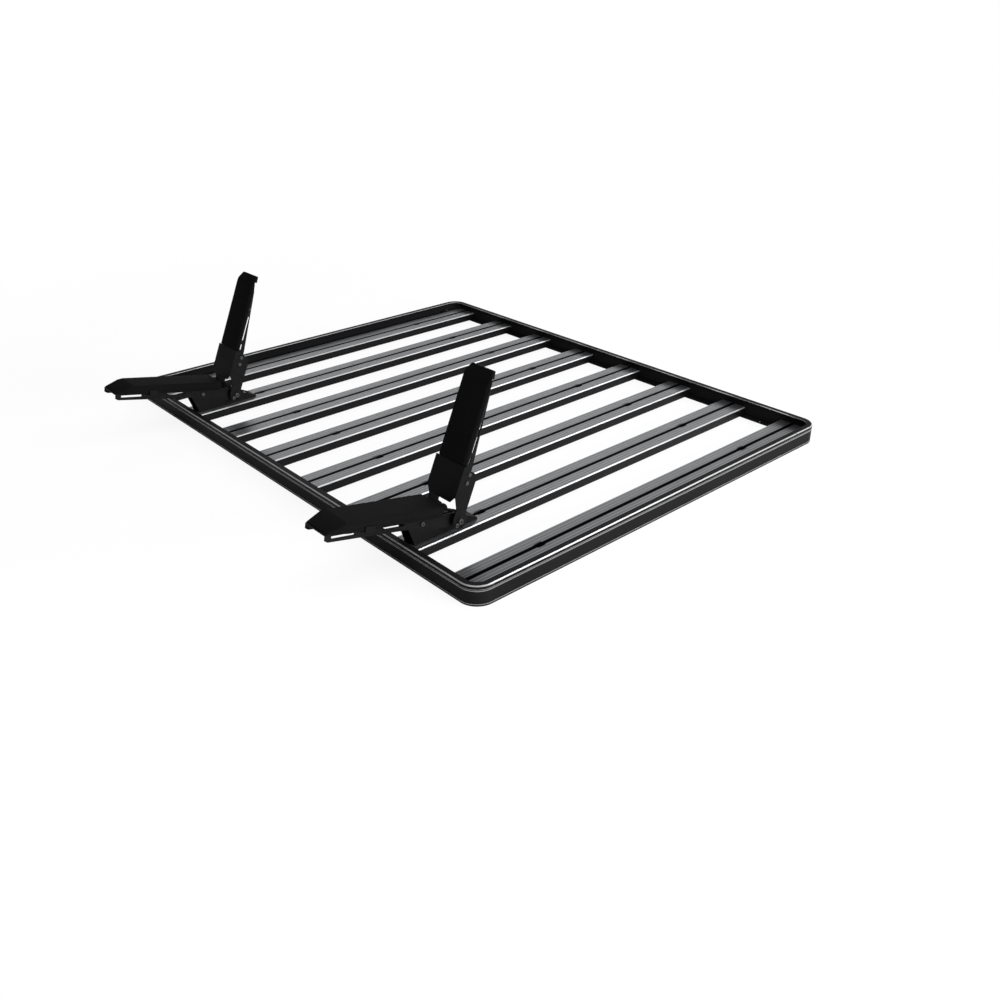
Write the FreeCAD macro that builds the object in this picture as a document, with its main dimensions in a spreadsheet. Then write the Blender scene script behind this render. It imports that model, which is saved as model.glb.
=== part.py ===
import FreeCAD, Part
import math
import os
import re

import Sketcher
from FreeCAD import Placement, Rotation, Vector

# Roof platform of slats in a perimeter rail, with two folding kayak cradles bolted to its slats.
# X runs across the vehicle (the cradles stand on the -X side), Y along it (+Y is the front), Z up.
# The origin is the centre of the platform, on the plane of its underside.

SIZES = {
    # platform
    "rack_width": 1255, "rack_length": 1560, "rail_height": 50, "rail_wall": 10, "rail_lip": 16,
    "rail_lip_thick": 5, "rail_ledge": 28, "rail_ledge_thick": 3, "rail_skin": 2.5,
    "rail_top_chamfer": 2.5, "rail_groove_deep": 1.5, "rail_foot_band": 5,
    "rail_low_groove": 2, "rail_high_groove": 3, "rail_top_band": 10,
    "corner_radius": 46, "gusset_reach": 85, "gusset_bolt_back": 19.5, "gusset_bolt_side": 26,
    "spigot_length": 30, "leg_hole_radius": 4.2, "leg_hole_inset": 19,
    # slats
    "slat_count": 8, "slat_end_gap": 31.5, "slat_half_width": 41.5, "slat_top": 26.4, "slat_chamfer": 3.5,
    "slot_width": 9, "slot_lip": 3.4, "slot_cavity_width": 20, "slot_cavity_deep": 12.4,
    "slat_wall": 3, "rib_start": 9, "rib_pitch": 4.8, "rib_groove": 1.8, "rib_deep": 0.8,
    "entry_inset": 252.5, "entry_length": 24, "entry_width": 17,
    "slat_screw_spread": 40, "slat_screw_inset": 9, "slat_screw_sink": 1.8, "slat_screw_tip": 8,
    "corner_bolt_radius": 3, "corner_bolt_head": 5, "corner_bolt_head_high": 3,
    # cradle layout
    "pivot_inset": 151.5, "pivot_z": 60, "base_slope": 12, "arm_angle": 66,
    # foot, from the hinge
    "foot_half_width": 20, "foot_base_thick": 4, "foot_outer_reach": 107, "foot_inner_reach": 76,
    "foot_lean": 15, "foot_knee": 12, "foot_ear": 18, "foot_top_along": 122, "foot_top_level": 13.5,
    "slot_bolt_outer": 75, "slot_bolt_inner": 48,
    # base tray and its pad, along the base from the hinge
    "tray_half_width": 37, "sheet": 3, "tray_start": 42, "tray_end": 352, "tray_plate_top": 17.5,
    "tray_ear": 18, "flange_outer_low": 0.8, "flange_outer_top": 4.8, "flange_outer_bevel": 7,
    "flange_knee": 141, "flange_knee_low": -4,
    "strap_slot_length": 57, "strap_slot_high": 6, "strap_slot_level": 7.5,
    "strap_slot_outer": 280, "strap_slot_inner": 150,
    "tab_place": 239, "tab_length": 24, "tab_rise": 10.5, "tab_gap": 0.3,
    "pad_half_width": 48, "pad_tip_half_width": 36, "pad_chamfer": 8, "pad_corner": 9,
    "base_pad_start": 45, "base_pad_end": 350.7, "base_pad_top": 39.5, "base_pad_bevel": 302,
    "base_pad_tip_high": 2.5, "base_pad_nose": 3,
    "base_screw_near": 70, "base_screw_far": 266, "pad_screw_spread": 54,
    # arm, along the arm from the hinge
    "arm_face": 38, "bracket_half_width": 49.5, "bracket_top": 125.5, "bracket_low": 38.5,
    "bracket_shoulder": 56, "bracket_low_half_width": 36, "bracket_back": -9,
    "bracket_back_top": 111, "bracket_ear": 20, "cheek_waist_along": 46, "cheek_waist_level": 32,
    "cheek_neck_along": 28, "cheek_neck_level": 22,
    "parting_gap": 0.8, "arm_tray_start": 80, "arm_tray_end": 326, "arm_plate_top": 31,
    "arm_flange_low": 10, "arm_flange_step": 11, "arm_flange_run": 280, "arm_flange_run_low": 26,
    "arm_flange_end": 300, "arm_pad_end": 344, "arm_pad_bevel": 300, "arm_pad_tip_level": 28.5,
    "arm_pad_hook_low": 26, "arm_pad_hook_gap": 0.3, "arm_pad_chamfer": 5,
    "arm_slot_start": 159, "arm_slot_length": 69, "arm_slot_level": 22.5, "arm_slot_high": 4.2,
    "arm_short_slot": 131, "arm_short_slot_length": 16,
    "eyelet_along": 250, "eyelet_level": 25.8, "eyelet_radius": 1.5,
    "arm_screw_near": 142, "arm_screw_far": 262,
    "joint_screw_near": 90, "joint_screw_far": 110, "joint_screw_level": 17,
    # hinge and fasteners
    "pivot_radius": 4, "pivot_head": 6.5, "pivot_head_high": 4.5, "guide_radius": 3,
    "guide_head": 5, "guide_head_high": 4, "guide_reach": 12.5, "guide_angle": 208.3,
    "guide_play": 0.2, "fold_angle": 74, "running_clearance": 0.08, "side_clearance": 0.2,
    "hole_clearance": 0.3, "spacer_wall": 3.5, "tray_bolt_along": 100, "tray_bolt_level": 4,
    "small_screw_radius": 2.5, "small_head": 4.6, "small_head_high": 2.8,
    "joint_screw_length": 9.5, "base_screw_length": 12, "arm_screw_length": 8, "screw_end_gap": 0.5,
    "pivot_nut_high": 6, "guide_nut_high": 5, "bolt_tail": 2, "slot_bolt_radius": 4,
    "washer_radius": 8, "washer_thick": 1.6, "slot_nut_high": 6.5, "slot_nut_flat": 6.5,
    "slot_head_high": 5, "slot_head_width": 16, "cut_margin": 2,
}

doc = FreeCAD.newDocument("kayak_carrier")
sheet = doc.addObject("Spreadsheet::Sheet", "Sizes")
for row, (alias, value) in enumerate(SIZES.items(), start=1):
    sheet.set(f"A{row}", alias)
    sheet.set(f"B{row}", str(value))
    sheet.setAlias(f"B{row}", alias)
doc.recompute()


def bound(text):
    """The text with each alias written as a cell of the sheet."""
    def cell(word):
        return "Sizes." + word.group() if word.group() in SIZES else word.group()
    return re.sub("[a-z_]{3,}", cell, text)


def size(text):
    """The number that an expression of aliases gives."""
    return float(sheet.evalExpression(bound(text)))


def tie(item, **expressions):
    """Bind an object's properties to expressions of the sheet's aliases."""
    for name, text in expressions.items():
        item.setExpression(name.replace("__", "."), bound(text))


def new(kind, label):
    item = doc.addObject(kind, label)
    item.Label = label
    return item


def fix(sketch, targets):
    """Fix sketch points and radii, each given as (kind, edge, point, expression)."""
    start = sketch.ConstraintCount
    sketch.addConstraint([
        Sketcher.Constraint(kind, edge, size(text)) if point is None
        else Sketcher.Constraint(kind, edge, point, size(text))
        for kind, edge, point, text in targets])
    for index, target in enumerate(targets, start=start):
        if bound(target[3]) != target[3]:
            sketch.setExpression(f"Constraints[{index}]", bound(target[3]))


def polygon(sketch, corners):
    """Closed outline whose corners are pairs of expressions."""
    places = [Vector(size(a), size(b), 0) for a, b in corners]
    first = sketch.GeometryCount
    count = len(places)
    sketch.addGeometry([Part.LineSegment(places[n], places[(n + 1) % count]) for n in range(count)], False)
    sketch.addConstraint([Sketcher.Constraint("Coincident", first + n, 2, first + (n + 1) % count, 1)
                          for n in range(count)])
    targets = []
    for n, (a, b) in enumerate(corners):
        targets += [("DistanceX", first + n, 1, a), ("DistanceY", first + n, 1, b)]
    fix(sketch, targets)


def circle(sketch, a, b, radius):
    """Circle fixed by its centre and radius."""
    edge = sketch.GeometryCount
    sketch.addGeometry(Part.Circle(Vector(size(a), size(b), 0), Vector(0, 0, 1), size(radius)), False)
    fix(sketch, [("DistanceX", edge, 3, a), ("DistanceY", edge, 3, b), ("Radius", edge, None, radius)])


def arc_slot(sketch, reach, half_width, start, sweep):
    """Slot along an arc about the sketch's origin, with round ends; angles in degrees."""
    r, w = size(reach), size(half_width)
    a, b = math.radians(size(start)), math.radians(size(start) + size(sweep))
    z = Vector(0, 0, 1)
    for radius, low, high in ((r + w, a, b), (r - w, a, b)):
        sketch.addGeometry(Part.ArcOfCircle(Part.Circle(Vector(), z, radius), low, high), False)
    for angle, turn in ((a, math.pi), (b, 0)):
        end = Vector(r * math.cos(angle), r * math.sin(angle), 0)
        arc = Part.ArcOfCircle(Part.Circle(end, z, w), angle + turn, angle + turn + math.pi)
        sketch.addGeometry(arc, False)


PLANES = {"side": "XZ_Plane", "plan": "XY_Plane", "front": "YZ_Plane"}


def draw(body, plane, shapes, level="0"):
    """Sketch on one of the body's origin planes, moved along its normal by level."""
    sketch = body.newObject("Sketcher::SketchObject", body.Name + "_sketch")
    origin = [f for f in body.Origin.OriginFeatures if f.Role == PLANES[plane]][0]
    sketch.AttachmentSupport = [(origin, "")]
    sketch.MapMode = "FlatFace"
    if level != "0":
        sketch.setExpression("AttachmentOffset.Base.z", bound(level))
    for shape in shapes:
        {"polygon": polygon, "circle": circle, "arc": arc_slot}[shape[0]](sketch, *shape[1:])
    return sketch


def pad(body, plane, shapes, length, level="0", middle=False):
    """Grow a sketch from its level along its plane's normal, or both ways from it."""
    feature = body.newObject("PartDesign::Pad", body.Name + "_pad")
    feature.Profile = draw(body, plane, shapes, level)
    tie(feature, Length=length)
    feature.Midplane = middle
    return feature


def pocket(body, plane, shapes):
    """Cut a sketch's outlines right through the body, both ways."""
    feature = body.newObject("PartDesign::Pocket", body.Name + "_pocket")
    feature.Profile = draw(body, plane, shapes)
    feature.Type = "ThroughAll"
    feature.Midplane = True
    return feature


def pocket_band(body, plane, shapes, length, level="0", middle=False):
    """Cut a sketch's outlines for a length against the plane's normal, or both ways."""
    feature = body.newObject("PartDesign::Pocket", body.Name + "_pocket")
    feature.Profile = draw(body, plane, shapes, level)
    tie(feature, Length=length)
    feature.Midplane = middle
    return feature


def box(low_a, high_a, low_b, high_b):
    """Rectangle for a sketch, from the expressions of its four sides."""
    return ("polygon", [(low_a, low_b), (high_a, low_b), (high_a, high_b), (low_a, high_b)])


nodes = []


def body(label):
    item = new("PartDesign::Body", label)
    nodes.append(item)
    return item


def part_body(label):
    """A body that other objects repeat, so it is no node itself."""
    return new("PartDesign::Body", label + "_master")


def copy(source, label, place=Placement(), **places):
    """A live copy of a master at a place; places bind coordinates to expressions."""
    item = new("Part::Compound", label)
    item.Links = [source]
    item.Placement = place
    tie(item, **{"Placement__Base__" + axis: text for axis, text in places.items()})
    return item


def group(label, members):
    """One node that holds several like solids."""
    item = new("Part::Compound", label)
    item.Links = members
    nodes.append(item)
    return item


# Perimeter rail: a hollow wall with a lip at its top, a ledge at its foot and two grooves outside.
# The section lies in a plane of outward distance (negative inwards from the outer face) and height.

def rail_outline():
    deep = "-rail_groove_deep"
    low, high = "rail_foot_band", "rail_height-rail_top_band"
    return ("polygon", [
        ("0", "0"), ("0", low), (deep, low), (deep, f"{low}+rail_low_groove"),
        ("0", f"{low}+rail_low_groove"), ("0", f"{high}-rail_high_groove"),
        (deep, f"{high}-rail_high_groove"), (deep, high), ("0", high),
        ("0", "rail_height-rail_top_chamfer"), ("-rail_top_chamfer", "rail_height"),
        ("-rail_lip", "rail_height"), ("-rail_lip", "rail_height-rail_lip_thick"),
        ("-rail_wall", "rail_height-rail_lip_thick"), ("-rail_wall", "rail_ledge_thick"),
        ("-rail_ledge", "rail_ledge_thick"), ("-rail_ledge", "0")])


def rail_hollow():
    inner, outer = "-rail_wall+rail_skin", "-rail_skin-rail_groove_deep"
    low, high = "rail_ledge_thick+rail_skin", "rail_height-rail_top_band-rail_high_groove-rail_skin"
    return box(inner, outer, low, high)


slat_pitch = "(rack_length-2*slat_end_gap-2*slat_half_width)/(slat_count-1)"
slat_count = round(size("slat_count"))
slat_places = [f"{2 * number + 1 - slat_count}*{slat_pitch}/2" for number in range(slat_count)]
leg_place = f"(({slat_places[-1]})+({slat_places[-2]}))/2"
slat_end = "rack_width/2-rail_wall"
bolt_hole = "corner_bolt_radius+hole_clearance"
screw_hole = "small_screw_radius+hole_clearance"


def side_rail(label, side):
    """Straight rail along Y; side is +1 on the +X side and -1 on the -X side."""
    item = body(label)
    pad(item, "side", [rail_outline(), rail_hollow()], "rack_length-2*corner_radius", middle=True)
    legs = [("circle", "-leg_hole_inset", f"{sign}{leg_place}", "leg_hole_radius")
            for sign in ("-", "")]
    screws = [("-rail_wall-slat_screw_inset", f"{place}{end}slat_screw_spread/2")
              for place in slat_places for end in ("-", "+")]
    pocket_band(item, "plan", legs + [("circle", a, b, screw_hole) for a, b in screws],
                "4*rail_ledge_thick", middle=True)
    pocket_band(item, "plan", [("circle", a, b, "small_head+hole_clearance") for a, b in screws],
                "slat_screw_sink+cut_margin", level="slat_screw_sink")
    item.Placement = Placement(Vector(), Rotation(Vector(0, 0, 1), 0 if side > 0 else 180))
    tie(item, Placement__Base__x=f"{side}*rack_width/2")
    return item


def end_rail(label, side):
    """Straight rail along X; side is +1 at the front and -1 at the rear."""
    item = body(label)
    pad(item, "side", [rail_outline(), rail_hollow()], "rack_width-2*corner_radius", middle=True)
    bolts = [("circle", "gusset_bolt_side-corner_radius",
              f"{sign}(rack_width/2-corner_radius-gusset_bolt_back)", bolt_hole) for sign in ("-", "")]
    pocket_band(item, "plan", bolts, "4*rail_ledge_thick", middle=True)
    item.Placement = Placement(Vector(), Rotation(Vector(0, 0, 1), 90 * side))
    tie(item, Placement__Base__y=f"{side}*rack_length/2")
    return item


side_rail("side_rail_left", -1)
side_rail("side_rail_right", 1)
end_rail("end_rail_rear", -1)
end_rail("end_rail_front", 1)


# Slats: hollow planks with a T-slot along the top and ribs on both sides of it.

def slat_outline():
    """Right half from the slot outwards, then the left half mirrored."""
    top, deep = "slat_top", "slat_top-rib_deep"
    right = [("slot_cavity_width/2", "slat_top-slot_cavity_deep"),
             ("slot_cavity_width/2", "slat_top-slot_lip"), ("slot_width/2", "slat_top-slot_lip"),
             ("slot_width/2", top)]
    ribs = int(size("slat_half_width-slat_chamfer-rib_start-rib_groove") / size("rib_pitch")) + 1
    for n in range(ribs):
        start = f"rib_start+{n}*rib_pitch"
        right += [(start, top), (start, deep), (f"{start}+rib_groove", deep),
                  (f"{start}+rib_groove", top)]
    right += [("slat_half_width-slat_chamfer", top), ("slat_half_width", f"{top}-slat_chamfer"),
              ("slat_half_width", "rail_ledge_thick")]
    left = [(f"-({a})", b) for a, b in reversed(right)]
    return ("polygon", right + left)


def slat_chambers():
    low, high = "rail_ledge_thick+slat_wall", "slat_top-slat_wall-rib_deep"
    near, far = "slot_cavity_width/2+slat_wall", "slat_half_width-slat_wall"
    return [box(near, far, low, high), box(f"-({far})", f"-({near})", low, high)]


def slat_master():
    item = part_body("slat")
    pad(item, "front", [slat_outline()] + slat_chambers(), f"2*({slat_end})", middle=True)
    entries = [box(f"{side}(rack_width/2-entry_inset)-entry_length/2",
                   f"{side}(rack_width/2-entry_inset)+entry_length/2",
                   "-entry_width/2", "entry_width/2") for side in ("-", "")]
    pocket_band(item, "plan", entries, "slot_lip", level="slat_top")
    holes = [("circle", f"{end}({slat_end}-slat_screw_inset)", f"{side}slat_screw_spread/2", screw_hole)
             for end in ("-", "") for side in ("-", "")]
    pocket_band(item, "plan", holes, "2*(rail_ledge_thick+slat_wall)+cut_margin", middle=True)
    return item


slat = slat_master()
for number, place in enumerate(slat_places, start=1):
    nodes.append(copy(slat, f"slat_{number}", y=place))


# Cast corners: the rail's section turned through a quarter circle, with a gusset that fills the
# corner beside the outermost slat, a seat cut for that slat, and a spigot into each rail's hollow.

def corner(label, side, turn):
    """Corner at the +X side if side is 1; turn is 1 where the arc runs from X towards +Y."""
    item = body(label)
    ring = [(f"corner_radius+({a})", b) for a, b in rail_outline()[1]]
    turned = item.newObject("PartDesign::Revolution", "corner_turn")
    turned.Profile = draw(item, "side", [("polygon", ring)])
    turned.ReferenceAxis = (turned.Profile[0], ["V_Axis"])
    turned.Angle = 90
    turned.Reversed = turn < 0
    y = "" if turn > 0 else "-"
    slat_edge = f"(({slat_places[-1]})+slat_half_width-rack_length/2+corner_radius)"
    wall = "(corner_radius-rail_wall)"
    gusset = box("corner_radius-gusset_reach", f"{wall}/2", f"{y}{slat_edge}", f"{y}{wall}")
    pad(item, "plan", [gusset], "slat_top-rail_ledge_thick", level="rail_ledge_thick")
    outer = "(corner_radius-rail_skin-rail_groove_deep-hole_clearance)"
    inner = f"({wall}+rail_skin+hole_clearance)"
    low = "rail_ledge_thick+rail_skin+hole_clearance"
    high = "rail_height-rail_top_band-rail_high_groove-rail_skin-hole_clearance"
    spigots = [box(inner, outer, f"-({y}spigot_length)", "0"),
               box("-spigot_length", "0", f"{y}{inner}", f"{y}{outer}")]
    pad(item, "plan", spigots, f"({high})-({low})", level=low)
    seat = box("0", wall, "0", f"{y}{slat_edge}")
    pocket_band(item, "plan", [seat], "slat_top-rail_ledge_thick", level="slat_top")
    pocket(item, "plan", [("circle", "-gusset_bolt_back", f"{y}gusset_bolt_side", bolt_hole)])
    item.Placement = Placement(Vector(), Rotation(Vector(0, 0, 1), 0 if side > 0 else 180))
    tie(item, Placement__Base__x=f"{side}*(rack_width/2-corner_radius)",
        Placement__Base__y=f"{side * turn}*(rack_length/2-corner_radius)")
    return item


CORNERS = {"corner_front_right": (1, 1), "corner_rear_right": (1, -1),
           "corner_front_left": (-1, -1), "corner_rear_left": (-1, 1)}
for label, (side, turn) in CORNERS.items():
    corner(label, side, turn)


# Fasteners: drawn along +Z from the seat of the head at 0, then copied into place.

def disc(radius):
    return [("circle", "0", "0", radius)]


def hexagon(half_flat):
    """Hexagon about the origin with a corner on the first axis."""
    across = f"({half_flat})/cos(30)"
    return [("polygon", [(f"{across}*cos({turn})", f"{across}*sin({turn})")
                         for turn in range(0, 360, 60)])]


def square(width):
    return [box(f"-{width}/2", f"{width}/2", f"-{width}/2", f"{width}/2")]


def stack(label, stages):
    """Piece along +Z from stages of (outline, low, high)."""
    item = part_body(label)
    for outline, low, high in stages:
        pad(item, "plan", outline, f"({high})-({low})", level=low)
    return item


def bolt(label, head, head_high, radius, length):
    return stack(label, [(head, f"-{head_high}", "0"), (disc(radius), "0", length)])


def sleeve(label, outline, bore, length):
    """Washer, spacer or nut of one outline around a bore."""
    return stack(label, [(outline + disc(bore), "0", length)])


DOWN = Placement(Vector(), Rotation(Vector(1, 0, 0), 180))
TO_FRONT = Placement(Vector(), Rotation(Vector(1, 0, 0), -90))
TO_REAR = Placement(Vector(), Rotation(Vector(1, 0, 0), 90))

slat_screw = stack("slat_screw", [(disc("small_head"), "0", "slat_screw_sink"),
                                  (disc("small_screw_radius"), "slat_screw_sink", "slat_screw_tip")])
group("slat_screws", [
    copy(slat_screw, "slat_screw", x=f"{end}({slat_end}-slat_screw_inset)",
         y=f"{place}{side}slat_screw_spread/2")
    for place in slat_places for end in ("-", "") for side in ("-", "+")])

corner_bolt = bolt("corner_bolt", hexagon("corner_bolt_head"), "corner_bolt_head_high",
                   "corner_bolt_radius", "slat_top")
group("corner_bolts", [
    copy(corner_bolt, "corner_bolt", DOWN, z="slat_top",
         x=f"{x}(rack_width/2-corner_radius-gusset_bolt_back)",
         y=f"{y}(rack_length/2-corner_radius+gusset_bolt_side)")
    for x in ("-", "") for y in ("-", "")])


# Cradles: each piece is drawn once about the hinge and set in both cradles. A piece is level, or
# on the slope of the base (which runs to -X), or on the slope of the arm (which runs to +X).

SLOPES = {"level": None, "base": (1, "base_slope"), "arm": (-1, "arm_angle")}
CRADLES = {"rear": slat_places[1], "front": slat_places[-2]}


def cradle_piece(label, slope, item):
    """Put a piece on its slope at the hinge and repeat it in the rear and the front cradle."""
    if SLOPES[slope]:
        axis, angle = SLOPES[slope]
        item.Placement = Placement(Vector(), Rotation(Vector(0, axis, 0), size(angle)))
        tie(item, Placement__Rotation__Angle=angle)
    tie(item, Placement__Base__x="pivot_inset-rack_width/2", Placement__Base__z="pivot_z")
    for name, place in CRADLES.items():
        nodes.append(copy(item, f"{name}_{label}", y=place))


def bunch(label, members):
    """Like solids that are placed together."""
    item = new("Part::Compound", label + "_set")
    item.Links = members
    return item


def side_plates(item, shapes, outer, thick="sheet"):
    """The same outlines on both sides of the middle plane, thick inwards from outer."""
    pad(item, "side", shapes, thick, level=f"({outer})-({thick})")
    pad(item, "side", shapes, thick, level=f"-({outer})")


def mirrored(corners):
    """An outline on the +Y side and its mirror image on the -Y side."""
    return [("polygon", [(a, f"{sign}({b})") for a, b in corners]) for sign in ("", "-")]


pivot_hole = ("circle", "0", "0", "pivot_radius+running_clearance")
guide_hole_radius = "guide_radius+guide_play"


def guide_hole(slope="0"):
    """Hole for the guide bolt in a piece whose own axis is turned by slope."""
    angle = f"(guide_angle+{slope})"
    return ("circle", f"guide_reach*cos({angle})", f"guide_reach*sin({angle})", guide_hole_radius)


# foot: channel with a base plate on the slat
plate_low, plate_top = "slat_top-pivot_z", "slat_top+foot_base_thick-pivot_z"
foot = part_body("foot_bracket")
pad(foot, "side", [box("-foot_outer_reach", "foot_inner_reach", plate_low, plate_top)],
    "2*foot_half_width", middle=True)
foot_side = ("polygon", [
    ("-foot_outer_reach", plate_low), ("-foot_outer_reach-foot_lean", "foot_knee"),
    ("-foot_top_along*cos(base_slope)+foot_top_level*sin(base_slope)",
     "foot_top_along*sin(base_slope)+foot_top_level*cos(base_slope)"),
    ("foot_top_level*sin(base_slope)", "foot_top_level*cos(base_slope)"), ("foot_ear", "0"),
    ("foot_inner_reach", plate_top), ("foot_inner_reach", plate_low)])
side_plates(foot, [foot_side], "foot_half_width")
side_plates(foot, disc("foot_ear"), "foot_half_width")
tray_bolt_hole = ("circle", "-tray_bolt_along*cos(base_slope)+tray_bolt_level*sin(base_slope)",
                  "tray_bolt_along*sin(base_slope)+tray_bolt_level*cos(base_slope)", bolt_hole)
pocket(foot, "side", [pivot_hole, guide_hole(), tray_bolt_hole])
pocket(foot, "plan", [("circle", x, "0", "slot_bolt_radius+hole_clearance")
                      for x in ("-slot_bolt_outer", "slot_bolt_inner")])
cradle_piece("foot_bracket", "level", foot)

# base tray: folded sheet with strap slots in its flanges and a tab on each side of the pad
plate_under = "tray_plate_top-sheet"
tab_outer = "pad_half_width+tab_gap+sheet"
base_tray = part_body("base_tray")
pad(base_tray, "side", [box("-tray_end", "-tray_start", plate_under, "tray_plate_top")],
    "2*tray_half_width", middle=True)
flange = ("polygon", [
    ("-tray_end", "tray_plate_top"), ("-tray_end", "flange_outer_top"),
    ("-tray_end+flange_outer_bevel", "flange_outer_low"), ("-flange_knee", "flange_knee_low"),
    ("0", "-tray_ear"), ("0", "tray_ear"), ("-tray_start", "tray_plate_top")])
side_plates(base_tray, [flange], "tray_half_width")
side_plates(base_tray, disc("tray_ear"), "tray_half_width")
tab = ("-tab_place-tab_length", "-tab_place", plate_under)
pad(base_tray, "side", [box(*tab, "tray_plate_top")], f"2*({tab_outer})", middle=True)
side_plates(base_tray, [box(*tab, "tray_plate_top+tab_rise")], tab_outer)
pocket(base_tray, "side", [pivot_hole, guide_hole("base_slope"),
                           ("circle", "-tray_bolt_along", "tray_bolt_level", bolt_hole)]
       + [box(f"-{start}-strap_slot_length", f"-{start}", "strap_slot_level",
              "strap_slot_level+strap_slot_high") for start in ("strap_slot_outer", "strap_slot_inner")])
base_screws = [(x, f"{sign}pad_screw_spread/2")
               for x in ("-base_screw_near", "-base_screw_far") for sign in ("-", "")]
pocket(base_tray, "plan", [("circle", x, y, screw_hole) for x, y in base_screws])
cradle_piece("base_tray", "base", base_tray)

# base pad: thick block with chamfered long edges and a sloping, narrowed tip
base_pad = part_body("base_pad")
pad(base_pad, "side", [("polygon", [
    ("-base_pad_start", "tray_plate_top"), ("-base_pad_start", "base_pad_top-base_pad_nose"),
    ("-base_pad_start-base_pad_nose", "base_pad_top"), ("-base_pad_bevel", "base_pad_top"),
    ("-base_pad_end", "tray_plate_top+base_pad_tip_high"), ("-base_pad_end", "tray_plate_top")])],
    "2*pad_half_width", middle=True)
pocket(base_pad, "front", [("polygon", [(f"{sign}({a})", b) for a, b in (
    ("pad_half_width-pad_chamfer", "base_pad_top"), ("pad_half_width", "base_pad_top-pad_chamfer"),
    ("pad_half_width+cut_margin", "base_pad_top-pad_chamfer"),
    ("pad_half_width+cut_margin", "base_pad_top+cut_margin"),
    ("pad_half_width-pad_chamfer", "base_pad_top+cut_margin"))]) for sign in ("", "-")])
pocket(base_pad, "plan", mirrored([
    ("-base_pad_bevel", "pad_half_width"), ("-base_pad_end", "pad_tip_half_width"),
    ("-base_pad_end-cut_margin", "pad_tip_half_width"),
    ("-base_pad_end-cut_margin", "pad_half_width+cut_margin"),
    ("-base_pad_bevel", "pad_half_width+cut_margin")]) + mirrored([
        ("-base_pad_start", "pad_half_width-pad_corner"), ("-base_pad_start-pad_corner", "pad_half_width"),
        ("-base_pad_start-pad_corner", "pad_half_width+cut_margin"),
        ("-base_pad_start+cut_margin", "pad_half_width+cut_margin"),
        ("-base_pad_start+cut_margin", "pad_half_width-pad_corner")]))
pocket_band(base_pad, "plan", [("circle", x, y, screw_hole) for x, y in base_screws],
            "base_screw_length+cut_margin", level=f"{plate_under}+base_screw_length+screw_end_gap")
cradle_piece("base_pad", "base", base_pad)

# arm bracket: front plate with narrowed lower corners between two cheeks with the guide slot
arm_bracket = part_body("arm_bracket")
pad(arm_bracket, "side", [box("bracket_low", "bracket_top", "arm_face-sheet", "arm_face")],
    "2*bracket_half_width", middle=True)
pocket(arm_bracket, "plan", mirrored([
    ("bracket_shoulder", "bracket_half_width"), ("bracket_low", "bracket_low_half_width"),
    ("bracket_low-cut_margin", "bracket_low_half_width"),
    ("bracket_low-cut_margin", "bracket_half_width+cut_margin"),
    ("bracket_shoulder", "bracket_half_width+cut_margin")]))
cheek = ("polygon", [
    ("bracket_top", "arm_face"), ("bracket_shoulder", "arm_face"),
    ("cheek_waist_along", "cheek_waist_level"), ("cheek_neck_along", "cheek_neck_level"),
    ("0", "cheek_neck_level"), ("0", "bracket_back"), ("bracket_back_top", "bracket_back")])
side_plates(arm_bracket, [cheek], "bracket_half_width")
side_plates(arm_bracket, disc("bracket_ear"), "bracket_half_width")
joint_places = ("joint_screw_near", "joint_screw_far")
joint_holes = [("circle", x, "joint_screw_level", screw_hole) for x in joint_places]
pocket(arm_bracket, "side", [
    pivot_hole, ("arc", "guide_reach", guide_hole_radius, "guide_angle-arm_angle", "fold_angle")]
    + joint_holes)
cradle_piece("arm_bracket", "arm", arm_bracket)

# arm tray: folded sheet between the cheeks, with slots and an eyelet in its flanges
arm_under = "arm_plate_top-sheet"
arm_half_width = "bracket_half_width-sheet"
arm_tray = part_body("arm_tray")
pad(arm_tray, "side", [box("arm_tray_start", "arm_tray_end", arm_under, "arm_plate_top")],
    f"2*({arm_half_width})", middle=True)
pocket(arm_tray, "plan", mirrored([
    ("arm_flange_end", arm_half_width), ("arm_tray_end", "pad_tip_half_width"),
    ("arm_tray_end+cut_margin", "pad_tip_half_width"),
    ("arm_tray_end+cut_margin", f"{arm_half_width}+cut_margin"),
    ("arm_flange_end", f"{arm_half_width}+cut_margin")]))
side_plates(arm_tray, [("polygon", [
    ("arm_tray_start", "arm_plate_top"), ("arm_tray_start", "arm_flange_low"),
    ("bracket_top", "arm_flange_step"), ("arm_flange_run", "arm_flange_run_low"),
    ("arm_flange_end", arm_under), ("arm_flange_end", "arm_plate_top")])], arm_half_width)
pocket(arm_tray, "side", joint_holes + [("circle", "eyelet_along", "eyelet_level", "eyelet_radius")]
       + [box(start, f"{start}+{length}", "arm_slot_level", "arm_slot_level+arm_slot_high")
          for start, length in (("arm_slot_start", "arm_slot_length"),
                                ("arm_short_slot", "arm_short_slot_length"))])
arm_screws = [(x, f"{sign}pad_screw_spread/2")
              for x in ("arm_screw_near", "arm_screw_far") for sign in ("-", "")]
pocket(arm_tray, "plan", [("circle", x, y, screw_hole) for x, y in arm_screws])
cradle_piece("arm_tray", "arm", arm_tray)

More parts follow.
